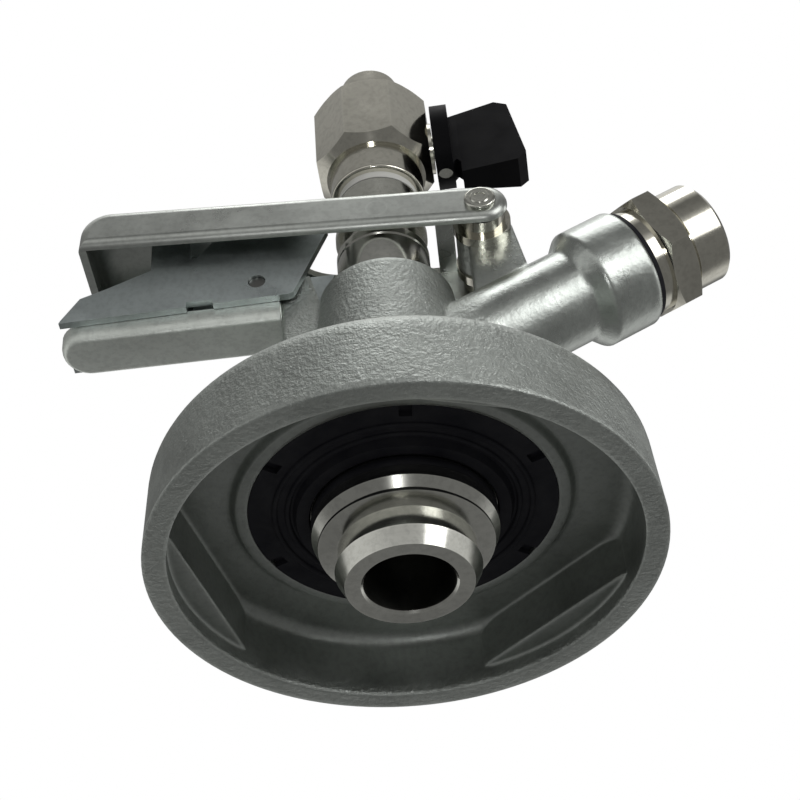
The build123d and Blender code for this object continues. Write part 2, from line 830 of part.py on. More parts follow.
with BuildPart() as pivot_pin:
    with BuildSketch(Plane.XZ):
        with Locations((pivot_x, pivot_z)):
            Circle(pin_radius)
    extrude(amount=lever_width / 2, both=True)
    for side in (1, -1):
        with BuildSketch(Plane.XZ.offset(side * lever_width / 2)):
            with Locations((pivot_x, pivot_z)):
                Circle(pin_head_radius)
        extrude(amount=side * pin_head_thickness)
    head_edges = pivot_pin.edges().filter_by(GeomType.CIRCLE).group_by(Axis.Y)
    fillet(head_edges[0] + head_edges[-1], pin_head_round)

with BuildPart() as pivot_bushes:
    for side in (1, -1):
        with BuildSketch(Plane.XZ.offset(side * (post_half_width - bush_barrel_length))):
            with Locations((pivot_x, pivot_z)):
                Circle(bush_barrel_radius)
                Circle(pin_radius + running_clearance, mode=Mode.SUBTRACT)
        extrude(amount=side * bush_barrel_length)
        with BuildSketch(Plane.XZ.offset(side * post_half_width)):
            with Locations((pivot_x, pivot_z)):
                Circle(bush_flange_radius)
                Circle(pin_radius + running_clearance, mode=Mode.SUBTRACT)
        extrude(amount=side * bush_flange_thickness)

with BuildPart() as pivot_washers:
    for side in (1, -1):
        with BuildSketch(Plane.XZ.offset(side * washer_start)):
            with Locations((pivot_x, pivot_z)):
                Circle(washer_radius)
                Circle(pin_radius + running_clearance, mode=Mode.SUBTRACT)
        extrude(amount=side * (washer_end - washer_start))

# ---------------------------------------------------------------- grip and latch
with BuildPart() as grip:
    # half-round bar with a round end, flat on top
    with BuildSketch(Plane.XY.offset(grip_low)):
        with Locations((grip_end + grip_half_width, 0)):
            Circle(grip_half_width)
        with Locations(((lug_x + grip_end + grip_half_width) / 2, 0)):
            Rectangle(lug_x - grip_end - grip_half_width, 2 * grip_half_width)
    extrude(amount=grip_top - grip_low)
    fillet(grip.edges().filter_by(lambda e: e.center().Z < grip_low + 0.01
                                  and e.center().X < lug_x - 0.01), grip_under_round)
    # ear that stands between the latch's sides and holds its pin
    with BuildSketch(Plane.XZ):
        with BuildLine():
            Polyline(
                (lug_x, grip_top - 1),
                (latch_pivot_x - ear_foot, grip_top - 1),
                (latch_pivot_x - ear_foot, grip_top),
                (latch_pivot_x - ear_top, lug_top),
                (lug_x, lug_top),
                close=True,
            )
        make_face()
    extrude(amount=ear_half_width, both=True)
    with Locations((lug_x + (tenon_length - 0.1) / 2, 0, tenon_z)):
        Box(tenon_length - 0.1, 2 * tenon_half_width, tenon_height)
    with BuildSketch(Plane.XZ):
        with Locations((latch_pivot_x, latch_pivot_z)):
            Circle(latch_pin_radius)
        with Locations((notch_x, stop_z)):
            Circle(stop_radius)
    extrude(amount=grip_half_width, both=True, mode=Mode.SUBTRACT)
    with Locations((screw_x, 0, tenon_z)):
        Cylinder(screw_radius, 2 * tenon_height, mode=Mode.SUBTRACT)

with BuildPart() as grip_screw:
    with BuildSketch(Plane.XY.offset(lug_top - screw_head_height - 0.2)):
        with Locations((screw_x, 0)):
            Circle(screw_head_radius)
    extrude(amount=screw_head_height)
    with BuildSketch(Plane.XY.offset(lug_top - screw_length)):
        with Locations((screw_x, 0)):
            Circle(screw_radius)
    extrude(amount=screw_length - screw_head_height - 0.2)
    with BuildSketch(Plane.XY.offset(lug_top - 0.2)):
        with Locations((screw_x, 0)):
            RegularPolygon(screw_socket / 2, 6, major_radius=False)
    extrude(amount=-screw_head_height / 2, mode=Mode.SUBTRACT)

with BuildPart() as latch:
    with BuildSketch(Plane.XZ):
        # side plate, from the thumb nose to the slanted front edge
        with BuildLine():
            Polyline(
                (latch_end, latch_low - 0.3),
                (latch_end + 0.3, latch_low + 0.4),
                (latch_end + 3.7, latch_low + 5.7),
                (latch_end + 8.7, latch_low + 7.6),
                (latch_knee_x - 5.7, latch_knee_z - 2.2),
                (latch_knee_x, latch_knee_z),
                (hook_right, latch_knee_z),
                (hook_right + 3.0, latch_ear_top),
                (latch_front_top_x, latch_ear_top),
                (latch_front_x, latch_low + 1.3),
                (latch_front_x - 1.0, latch_low + 0.8),
                close=True,
            )
        make_face()
        # hook that stands up through the lever's web
        with BuildLine():
            Polyline(
                (hook_left, latch_knee_z - 4),
                (hook_left, hook_top),
                (hook_right, hook_top),
                (hook_right, hook_top - hook_lip),
                (hook_right - hook_reach, hook_top - hook_lip),
                (hook_right - hook_reach, latch_knee_z - 4),
                close=True,
            )
        make_face()
        with Locations((notch_x, latch_low)):
            Rectangle(notch_width, 2 * notch_depth, mode=Mode.SUBTRACT)
        with Locations((latch_pivot_x, latch_pivot_z)):
            Circle(latch_pin_radius + running_clearance, mode=Mode.SUBTRACT)
    extrude(amount=latch_half_width, both=True)
    # only the thumb web, from the nose to the knee, joins the two sides
    with BuildSketch(Plane.XZ):
        with BuildLine():
            Polyline(
                (latch_end - 2, latch_low - 4),
                (latch_end - 2, hook_top + 4),
                (web_end_x, hook_top + 4),
                (web_end_x, latch_low + 4.2),
                (latch_end + 9.1, latch_low + 7.6 - latch_wall),
                (latch_knee_x - 5.2, latch_knee_z - 2.2 - latch_wall),
                (latch_knee_x + 0.4, latch_knee_z - latch_wall),
                (latch_knee_x + 0.4, hook_top + 4),
                (latch_front_top_x + 4, hook_top + 4),
                (latch_front_top_x + 4, latch_low - 4),
                close=True,
            )
        make_face()
    extrude(amount=latch_half_width - latch_wall, both=True, mode=Mode.SUBTRACT)
    # the web itself stays under the hooks
    with BuildSketch(Plane.XZ):
        with BuildLine():
            Polyline(
                (hook_left - 1, latch_knee_z - 1.8),
                (hook_left - 1, hook_top + 1),
                (latch_knee_x + 1, hook_top + 1),
                (latch_knee_x + 1, latch_knee_z + 0.2),
                (latch_knee_x, latch_knee_z),
                (latch_knee_x - 5.7, latch_knee_z - 2.2),
                close=True,
            )
        make_face()
    extrude(amount=latch_half_width - latch_wall, both=True, mode=Mode.SUBTRACT)

with BuildPart() as latch_pin:
    with BuildSketch(Plane.XZ):
        with Locations((latch_pivot_x, latch_pivot_z)):
            Circle(latch_pin_radius)
    extrude(amount=latch_pin_length / 2, both=True)

with BuildPart() as latch_stop_pin:
    with BuildSketch(Plane.XZ):
        with Locations((notch_x, stop_z)):
            Circle(stop_radius)
    extrude(amount=stop_length / 2, both=True)

latch_spring = coil(spring_radius, spring_wire, spring_height, spring_turns)
latch_spring = latch_spring.moved(Location((spring_x, 0, grip_top)))

# ---------------------------------------------------------------- gas inlet fittings
gas_gasket = inlet_ring(hub_radius - hub_round, spigot_radius, hub_end, collar_start)
gas_collar = inlet_ring(collar_radius, spigot_radius, collar_start, inlet_hex_start)

with BuildPart() as gas_adapter:
    with BuildSketch(inlet_face.offset(inlet_hex_start)):
        RegularPolygon(inlet_hex_width / 2, 6, major_radius=False, rotation=inlet_hex_turn)
    extrude(amount=inlet_hex_length)
    # the hexagon's corners are turned off at both ends
    with BuildSketch(inlet_side):
        with BuildLine():
            Polyline(
                (inlet_hex_start, 0),
                (inlet_hex_start, inlet_hex_width / 2),
                (inlet_hex_start + hex_chamfer, inlet_hex_width / 2 + 2 * hex_chamfer),
                (nose_start - hex_chamfer, inlet_hex_width / 2 + 2 * hex_chamfer),
                (nose_start, inlet_hex_width / 2),
                (nose_start, 0),
                close=True,
            )
        make_face()
    revolve(axis=inlet_axis, mode=Mode.INTERSECT)
    with BuildSketch(inlet_side):
        with BuildLine():
            Polyline(
                (spigot_start, 0),
                (spigot_start, spigot_radius),
                (inlet_hex_start, spigot_radius),
                (nose_start, gas_relief_radius),
                (nose_start + gas_relief_length, gas_relief_radius),
                (nose_start + gas_relief_length, gas_thread_radius),
                (nose_end - gas_end_chamfer, gas_thread_radius),
                (nose_end, gas_thread_radius - gas_end_chamfer),
                (nose_end, 0),
                close=True,
            )
        make_face()
    revolve(axis=inlet_axis)
    with BuildSketch(inlet_side):
        with BuildLine():
            Polyline(
                (spigot_start - 1, 0),
                (spigot_start - 1, gas_seat_radius),
                (spigot_start + spigot_length, gas_seat_radius),
                (spigot_start + spigot_length + 2, gas_bore_radius),
                (nose_end - 1.5, gas_bore_radius),
                (nose_end, gas_bore_radius + 1.5),
                (nose_end + 1, gas_bore_radius + 1.5),
                (nose_end + 1, 0),
                close=True,
            )
        make_face()
    revolve(axis=inlet_axis, mode=Mode.SUBTRACT)

with BuildPart() as check_poppet:
    with BuildSketch(inlet_face.offset(poppet_back)):
        Circle(poppet_radius)
    extrude(amount=poppet_thickness)
    with BuildSketch(inlet_face.offset(poppet_back)):
        Circle(poppet_stem_radius)
    extrude(amount=-poppet_stem_length)

check_spring = coil(poppet_spring_radius, poppet_spring_wire, poppet_back - check_chamber_start,
                    poppet_spring_turns)
check_spring = inlet_face.offset(check_chamber_start).from_local_coords(check_spring)

# ---------------------------------------------------------------- ball valve
with BuildPart() as valve_body:
    # an eight-sided block with a flat towards the stem, turned off at both ends
    with BuildSketch(valve_frame.offset(valve_collar_top)):
        RegularPolygon(valve_flat, valve_block_sides, major_radius=False,
                       rotation=valve_half_side)
    extrude(amount=valve_block_top - valve_collar_top)
    with BuildSketch(Plane.XZ):
        with BuildLine():
            Polyline(
                (0, valve_collar_top),
                (valve_corner - valve_block_chamfer, valve_collar_top),
                (valve_corner, valve_collar_top + valve_block_chamfer),
                (valve_corner, valve_block_top - hex_chamfer),
                (valve_corner - hex_chamfer, valve_block_top),
                (0, valve_block_top),
                close=True,
            )
        make_face()
    revolve(axis=Axis.Z, mode=Mode.INTERSECT)
    with BuildSketch(Plane.XY.offset(valve_collar_z)):
        Circle(valve_collar_radius)
    extrude(amount=valve_collar_top - valve_collar_z)
    with BuildSketch(Plane.XZ):
        with BuildLine():
            Polyline(
                (0, valve_collar_z - 1),
                (thread_radius, valve_collar_z - 1),
                (thread_radius, socket_top),
                (valve_bore_radius, socket_top),
                (valve_bore_radius, seat_low),
                (valve_chamber_radius, seat_low),
                (valve_chamber_radius, seat_high),
                (outlet_spigot_radius, seat_high),
                (outlet_spigot_radius, valve_block_top + 1),
                (0, valve_block_top + 1),
                close=True,
            )
        make_face()
    revolve(axis=Axis.Z, mode=Mode.SUBTRACT)
    with BuildSketch(stem_face):
        Circle(stem_radius + 0.3)
    extrude(amount=valve_flat + 1, mode=Mode.SUBTRACT)
    with BuildSketch(stem_face.offset(valve_flat - gland_pocket_depth)):
        Circle(gland_pocket_radius)
    extrude(amount=gland_pocket_depth + 1, mode=Mode.SUBTRACT)
    fillet(valve_body.edges().filter_by(GeomType.CIRCLE).filter_by(
        lambda e: abs(e.radius - valve_collar_radius) < 0.01
        and abs(e.center().Z - valve_collar_z) < 0.01), sheet_round)

with BuildPart() as valve_seats:
    for low, high in ((seat_low, seat_low + seat_ring_height),
                      (seat_high - seat_ring_height, seat_high)):
        with BuildSketch(Plane.XY.offset(low)):
            Circle(valve_chamber_radius - fit_clearance)
            Circle(seat_ring_bore, mode=Mode.SUBTRACT)
        extrude(amount=high - low)
    with Locations((0, 0, valve_ball_height)):
        Sphere(valve_ball_radius + ball_fit, mode=Mode.SUBTRACT)

with BuildPart() as valve_ball:
    with Locations((0, 0, valve_ball_height)):
        Sphere(valve_ball_radius)
        Cylinder(valve_bore_radius, 3 * valve_ball_radius, mode=Mode.SUBTRACT)
    with BuildSketch(stem_face.offset(tang_z)):
        Rectangle(3 * valve_ball_radius, tang_width)
    extrude(amount=valve_ball_radius, mode=Mode.SUBTRACT)

with BuildPart() as valve_stem:
    with BuildSketch(stem_face.offset(tang_z)):
        Circle(stem_radius)
        Rectangle(2 * stem_radius, tang_width, mode=Mode.INTERSECT)
    extrude(amount=valve_ball_radius + 0.2 - tang_z)
    with BuildSketch(stem_face.offset(valve_ball_radius + 0.2)):
        Circle(stem_radius)
    extrude(amount=hub_back - 0.5 - valve_ball_radius - 0.2)

stem_packing = stem_ring(gland_pocket_radius, stem_radius + running_clearance,
                         valve_flat - gland_pocket_depth,
                         valve_flat - gland_pocket_depth + packing_length)

with BuildPart() as gland_nut:
    with BuildSketch(stem_face.offset(valve_flat - gland_pocket_depth + packing_length)):
        Circle(gland_pocket_radius)
    extrude(amount=gland_pocket_depth - packing_length)
    with BuildSketch(stem_face.offset(valve_flat)):
        Circle(gland_radius)
    extrude(amount=gland_length)
    with BuildSketch(stem_face):
        Circle(stem_radius + running_clearance)
    extrude(amount=2 * valve_flat, mode=Mode.SUBTRACT)

with BuildPart() as valve_handle:
    with BuildSketch(stem_side):
        with BuildLine():
            Polyline(
                (hub_face + 1, handle_paddle_top - 2.4),
                (paddle_start, handle_paddle_top - 1.2),
                (paddle_end - handle_top_run, handle_paddle_top),
                (paddle_end - 2.4, handle_paddle_top - 1.6),
                (paddle_end, handle_paddle_bottom + 1.8),
                (paddle_end - 1.8, handle_paddle_bottom),
                (paddle_start, handle_paddle_bottom),
                (paddle_start, handle_paddle_bottom + handle_arch_height - 1),
                (paddle_start - handle_neck / 2, handle_paddle_bottom + handle_arch_height),
                (hub_back, handle_paddle_bottom + handle_arch_height - 1),
                (hub_face + 1, handle_paddle_bottom + handle_arch_height - 1),
                close=True,
            )
        make_face()
    extrude(amount=handle_paddle_outer / 2, both=True)
    # the paddle is thicker towards its outer edge
    with BuildSketch(valve_frame.offset(handle_paddle_bottom)):
        with BuildLine():
            Polyline(
                (hub_face, -handle_paddle_inner / 2),
                (paddle_start, -handle_paddle_inner / 2),
                (paddle_end, -handle_paddle_outer / 2),
                (paddle_end, handle_paddle_outer / 2),
                (paddle_start, handle_paddle_inner / 2),
                (hub_face, handle_paddle_inner / 2),
                close=True,
            )
        make_face()
    extrude(amount=handle_paddle_top - handle_paddle_bottom, mode=Mode.INTERSECT)
    with BuildSketch(stem_face.offset(hub_face)):
        Circle(handle_hub_radius)
    extrude(amount=handle_hub_length)
    with BuildSketch(stem_face.offset(hub_face)):
        Circle(stem_radius)
    extrude(amount=handle_hub_length - 0.5, mode=Mode.SUBTRACT)
    # threaded hole for the set screw, up from the hub's lower rim
    with Locations(Location((stem_dir * ((hub_face + hub_back) / 2)
                             + Vector(0, 0, valve_ball_height - handle_hub_radius)))):
        Cylinder(handle_screw_radius, 2 * (handle_hub_radius - stem_radius), mode=Mode.SUBTRACT)

with BuildPart() as handle_screw:
    with BuildSketch(Plane.XY.offset(valve_ball_height - handle_hub_radius + 0.4)):
        with Locations(stem_dir * ((hub_face + hub_back) / 2)):
            Circle(handle_screw_radius)
    extrude(amount=handle_hub_radius - 0.4 - stem_radius)

with BuildPart() as outlet_end:
    with BuildSketch(Plane.XZ):
        with BuildLine():
            Polyline(
                (valve_bore_radius, seat_high),
                (outlet_spigot_radius, seat_high),
                (outlet_spigot_radius, valve_block_top),
                (outlet_cone_radius, valve_block_top),
                (outlet_thread_radius + cone_step, valve_cone_top - cone_step),
                (outlet_thread_radius, valve_cone_top),
                (outlet_thread_radius, valve_stub_top - outlet_end_chamfer),
                (outlet_thread_radius - outlet_end_chamfer, valve_stub_top),
                (valve_bore_radius, valve_stub_top),
                close=True,
            )
        make_face()
    revolve(axis=Axis.Z)

valve_gasket = ring(joint_ring_radius, thread_radius, tube_top, valve_collar_z)

# ---------------------------------------------------------------- STEP files
os.makedirs("parts", exist_ok=True)
save(body.part, "body")
save(bottom_seal.part, "bottom_seal")
save(neck_seal, "neck_seal")
save(guide_bush, "guide_bush")
save(probe.part, "probe")
save(probe_o_ring.part, "probe_o_ring")
save(lift_collar.part, "lift_collar")
save(lift_nut, "lift_nut")
save(check_ball.part, "check_ball")
save(ball_retainer, "ball_retainer")
save(lever.part, "lever")
save(lever_studs.part, "lever_studs")
save(pivot_pin.part, "pivot_pin")
save(pivot_bushes.part, "pivot_bushes")
save(pivot_washers.part, "pivot_washers")
save(grip.part, "grip")
save(grip_screw.part, "grip_screw")
save(latch.part, "latch")
save(latch_pin.part, "latch_pin")
save(latch_stop_pin.part, "latch_stop_pin")
save(latch_spring, "latch_spring")
save(gas_gasket, "gas_gasket")
save(gas_collar, "gas_collar")
save(gas_adapter.part, "gas_adapter")
save(check_poppet.part, "check_poppet")
save(check_spring, "check_spring")
save(valve_gasket, "valve_gasket")
save(valve_body.part, "valve_body")
save(valve_seats.part, "valve_seats")
save(valve_ball.part, "valve_ball")
save(valve_stem.part, "valve_stem")
save(stem_packing, "stem_packing")
save(gland_nut.part, "gland_nut")
save(valve_handle.part, "valve_handle")
save(handle_screw.part, "handle_screw")
save(outlet_end.part, "outlet_end")
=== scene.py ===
import math

import bpy
from mathutils import Matrix, Vector


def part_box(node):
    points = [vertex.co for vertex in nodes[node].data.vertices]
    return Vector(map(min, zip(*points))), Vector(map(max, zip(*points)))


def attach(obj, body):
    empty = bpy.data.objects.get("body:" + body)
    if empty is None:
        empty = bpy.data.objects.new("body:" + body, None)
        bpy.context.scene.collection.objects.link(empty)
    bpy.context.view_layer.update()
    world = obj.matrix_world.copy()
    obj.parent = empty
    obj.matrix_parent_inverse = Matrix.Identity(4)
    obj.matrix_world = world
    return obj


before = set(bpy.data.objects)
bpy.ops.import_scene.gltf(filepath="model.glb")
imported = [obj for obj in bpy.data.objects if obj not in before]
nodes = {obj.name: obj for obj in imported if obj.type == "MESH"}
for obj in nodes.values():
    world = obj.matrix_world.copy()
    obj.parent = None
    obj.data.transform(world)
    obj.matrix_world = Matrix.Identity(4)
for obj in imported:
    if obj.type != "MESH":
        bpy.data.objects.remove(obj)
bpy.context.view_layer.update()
scene = bpy.context.scene

MM = 0.001


# ---------------------------------------------------------------- material building
class Graph:
    """Small helper round one material's node tree."""

    def __init__(self, name):
        self.mat = bpy.data.materials.new(name)
        self.mat.use_nodes = True
        self.tree = self.mat.node_tree
        self.tree.nodes.clear()
        self.out = self.add("ShaderNodeOutputMaterial")
        self.bsdf = self.add("ShaderNodeBsdfPrincipled")
        self.link(self.bsdf, "BSDF", self.out, "Surface")
        self.coord = self.add("ShaderNodeTexCoord")

    def add(self, kind, **values):
        """New node, with its inputs or its settings given by name."""
        node = self.tree.nodes.new(kind)
        for key, value in values.items():
            if key in node.inputs:
                node.inputs[key].default_value = value
            else:
                setattr(node, key, value)
        return node

    def link(self, a, out, b, into):
        self.tree.links.new(a.outputs[out], b.inputs[into])

    def noise(self, scale, detail=3.0, rough=0.5, stretch=None):
        """Noise in the piece's own place, drawn out along an axis where stretch is small."""
        node = self.add("ShaderNodeTexNoise", Scale=scale, Detail=detail, Roughness=rough)
        if stretch:
            mapping = self.add("ShaderNodeMapping", Scale=stretch)
            self.link(self.coord, "Object", mapping, "Vector")
            self.link(mapping, "Vector", node, "Vector")
        else:
            self.link(self.coord, "Object", node, "Vector")
        return node

    def ramp(self, source, stops):
        """Colours over a noise, given as pairs of place and colour."""
        node = self.add("ShaderNodeValToRGB")
        self.link(source, "Fac", node, "Fac")
        while len(node.color_ramp.elements) < len(stops):
            node.color_ramp.elements.new(0.5)
        for element, (place, colour) in zip(node.color_ramp.elements, stops):
            element.position = place
            element.color = tuple(colour) + (1.0,)
        return node

    def spread(self, source, out, low, high, from_low=0.3, from_high=0.7):
        """A value moved from one range to another, and held at its ends."""
        node = self.add("ShaderNodeMapRange")
        node.inputs["From Min"].default_value = from_low
        node.inputs["From Max"].default_value = from_high
        node.inputs["To Min"].default_value = low
        node.inputs["To Max"].default_value = high
        self.link(source, out, node, "Value")
        return node

    def math(self, operation, a, b, out_a="Value", out_b="Value"):
        """Two nodes' values joined by one operation."""
        node = self.add("ShaderNodeMath", operation=operation)
        self.link(a, out_a, node, 0)
        self.link(b, out_b, node, 1)
        return node

    def bump(self, source, strength, distance, before=None):
        """Relief from a noise, on top of another relief where one is given."""
        node = self.add("ShaderNodeBump", Strength=strength, Distance=distance)
        self.link(source, "Fac", node, "Height")
        if before:
            self.link(before, "Normal", node, "Normal")
        return node


def shade(colour, factor):
    return tuple(min(1.0, c * factor) for c in colour)


# ---------------------------------------------------------------- masks of places on a piece
def inlet_side(g):
    """Mask of the casting's inlet tube, hub and pivot post, which are smoother than the bell and
    painted lighter there as painted light.
    """
    split = g.add("ShaderNodeSeparateXYZ")
    g.link(g.coord, "Object", split, "Vector")
    past_neck = g.spread(split, "X", 0.0, 1.0, 14 * MM, 19 * MM)
    above_cone = g.spread(split, "Z", 0.0, 1.0, 34 * MM, 40 * MM)
    return g.math("MULTIPLY", past_neck, above_cone, "Result", "Result")


def within(g, limit):
    """Mask of what lies nearer to the probe's axis than a limit."""
    flat = g.add("ShaderNodeVectorMath", operation="MULTIPLY")
    flat.inputs[1].default_value = (1, 1, 0)
    g.link(g.coord, "Object", flat, 0)
    radius = g.add("ShaderNodeVectorMath", operation="LENGTH")
    g.link(flat, "Vector", radius, 0)
    inside = g.add("ShaderNodeMath", operation="LESS_THAN")
    inside.inputs[1].default_value = limit
    g.link(radius, "Value", inside, 0)
    return inside


def bore(g):
    """Mask of what lies inside the probe's bore, where the tube isn't polished and is painted darker as
    shade in the bore.
    """
    return within(g, 7.85 * MM)


def bell_inside(g):
    """Mask of the bell's inner wall and roof, which are smoother than its outside and painted darker
    there as shade in the bell's hollow.
    """
    split = g.add("ShaderNodeSeparateXYZ")
    g.link(g.coord, "Object", split, "Vector")
    past_rim = g.spread(split, "Z", 0.0, 1.0, 0.4 * MM, 3.0 * MM)
    under_roof = g.spread(split, "Z", 1.0, 0.0, 14 * MM, 15 * MM)
    in_wall = g.math("MULTIPLY", past_rim, within(g, 40.2 * MM), "Result")
    return g.math("MULTIPLY", in_wall, under_roof, "Value", "Result")


class Zone:
    """Place on a piece where the metal's tone and roughness are multiplied; the tone's change is
    painted light or shade.
    """

    def __init__(self, mask, tone=1.0, rough=1.0):
        self.mask = mask
        self.tone = tone
        self.rough = rough


# ---------------------------------------------------------------- kinds of material
def metal_tone(g, colour, dirt, zones, masks):
    """Patchy tone with fine dark specks, multiplied in the zones by painted light or shade; gives its
    output socket.
    """
    patches = g.noise(55.0, 4.0, 0.55)
    tone = g.ramp(patches, [(0.30, shade(colour, dirt)), (0.52, colour), (0.78, shade(colour, 1.07))])
    specks = g.ramp(g.noise(900.0, 2.0, 0.6), [(0.36, (0.90, 0.90, 0.90)), (0.55, (1.0, 1.0, 1.0))])
    mix = g.add("ShaderNodeMix", data_type="RGBA", blend_type="MULTIPLY")
    mix.inputs[0].default_value = 1.0
    g.link(tone, "Color", mix, 6)
    g.link(specks, "Color", mix, 7)
    surface = mix.outputs[2]
    # each zone's tone paints light or shade onto its place
    for zone, mask in zip(zones, masks):
        scaled = g.add("ShaderNodeVectorMath", operation="SCALE")
        g.tree.links.new(surface, scaled.inputs[0])
        g.link(g.spread(mask, "Value", 1.0, zone.tone, 0.0, 1.0), "Result", scaled, "Scale")
        surface = scaled.outputs[0]
    return surface


def rub_edges(g, surface, colour, wear):
    """Base colour, which is rubbed brighter along the edges."""
    bevel = g.add("ShaderNodeBevel", Radius=0.6 * MM)
    bevel.samples = 4
    flat = g.add("ShaderNodeNewGeometry")
    dot = g.add("ShaderNodeVectorMath", operation="DOT_PRODUCT")
    g.link(bevel, "Normal", dot, 0)
    g.link(flat, "Normal", dot, 1)
    edge = g.spread(dot, "Value", wear, 0.0, 0.86, 0.985)
    lift = g.add("ShaderNodeMix", data_type="RGBA", blend_type="MIX")
    g.link(edge, "Result", lift, 0)
    g.tree.links.new(surface, lift.inputs[6])
    lift.inputs[7].default_value = shade(colour, 1.35) + (1.0,)
    g.link(lift, 2, g.bsdf, "Base Color")


def smear(g, rough, rough_spread, zones, masks):
    """Uneven roughness, multiplied in the zones."""
    last = g.spread(g.noise(120.0, 3.0, 0.6), "Fac", rough - rough_spread, rough + rough_spread)
    out = "Result"
    for zone, mask in zip(zones, masks):
        factor = g.spread(mask, "Value", 1.0, zone.rough, 0.0, 1.0)
        last = g.math("MULTIPLY", last, factor, out, "Result")
        out = "Value"
    g.link(last, out, g.bsdf, "Roughness")


def cast_grain(g, grain_size, grain, calm, masks, before):
    """Grain of a sand-blasted casting with a slow swell, calmer inside the masks."""
    relief = g.bump(g.noise(1 / grain_size, 3.0, 0.65), grain, 0.2 * MM, before)
    if masks:
        most = masks[0]
        for mask in masks[1:]:
            most = g.math("MAXIMUM", most, mask)
        g.link(g.spread(most, "Value", grain, grain * calm, 0.0, 1.0), "Result", relief, "Strength")
    return g.bump(g.noise(160.0, 2.0, 0.5), 0.25, 0.6 * MM, relief)


def brushing(g, stretch, before):
    """Fine lines of a brush or a lathe's tool, and faint waves."""
    lines = g.bump(g.noise(1600.0, 2.0, 0.5, stretch), 0.10, 0.04 * MM, before)
    return g.bump(g.noise(90.0, 2.0, 0.5), 0.06, 0.4 * MM, lines)


def metal(name, colour, rough, grain_size=0.6 * MM, grain=0.0, brushed=None, wear=0.25, dirt=0.85,
          rough_spread=0.08, rounding=0.0, zones=(), calm=1.0):
    """Metal with patchy tone, a grain or brushing in its relief, and brighter edges.

    Edges shade as if they were rounded by the rounding, and the zones keep the calm's share of
    the grain.
    """
    g = Graph(name)
    masks = [zone.mask(g) for zone in zones]
    rub_edges(g, metal_tone(g, colour, dirt, zones, masks), colour, wear)
    g.bsdf.inputs["Metallic"].default_value = 1.0
    smear(g, rough, rough_spread, zones, masks)
    last = None
    if rounding:
        last = g.add("ShaderNodeBevel", Radius=rounding)
        last.samples = 8
    if grain:
        last = cast_grain(g, grain_size, grain, calm, masks, last)
    if brushed:
        last = brushing(g, brushed, last)
    g.link(last, "Normal", g.bsdf, "Normal")
    return g.mat


def rubber(name, colour, rough=0.62, bloom=0.0175):
    """Moulded rubber with a dull bloom and a fine matt skin."""
    g = Graph(name)
    dusty = tuple(c + bloom for c in colour)
    tone = g.ramp(g.noise(140.0, 4.0, 0.6), [(0.3, colour), (0.75, dusty)])
    g.link(tone, "Color", g.bsdf, "Base Color")
    gloss = g.spread(g.noise(300.0, 2.0, 0.5), "Fac", rough - 0.1, rough + 0.1)
    g.link(gloss, "Result", g.bsdf, "Roughness")
    skin = g.bump(g.noise(2600.0, 2.0, 0.5), 0.25, 0.05 * MM)
    g.link(skin, "Normal", g.bsdf, "Normal")
    g.bsdf.inputs["Specular IOR Level"].default_value = 0.2
    return g.mat


def plastic(name, colour, rough=0.35):
    """Moulded plastic with faint haze and a slightly uneven gloss."""
    g = Graph(name)
    hazy = tuple(c * 1.15 + 0.004 for c in colour)
    tone = g.ramp(g.noise(90.0, 3.0, 0.5), [(0.3, colour), (0.8, hazy)])
    g.link(tone, "Color", g.bsdf, "Base Color")
    gloss = g.spread(g.noise(220.0, 3.0, 0.6), "Fac", rough - 0.07, rough + 0.1)
    g.link(gloss, "Result", g.bsdf, "Roughness")
    skin = g.bump(g.noise(1500.0, 2.0, 0.5), 0.12, 0.05 * MM)
    g.link(skin, "Normal", g.bsdf, "Normal")
    g.bsdf.inputs["Specular IOR Level"].default_value = 0.07
    return g.mat


# ---------------------------------------------------------------- the part's materials
ROUND_AXIS = (0.04, 0.04, 1.0)      # lines that run round the upright axis, from the lathe
ALONG_X = (0.02, 0.5, 1.0)          # lines that run along the sheet
EVEN = (0.3, 0.3, 0.3)              # no direction

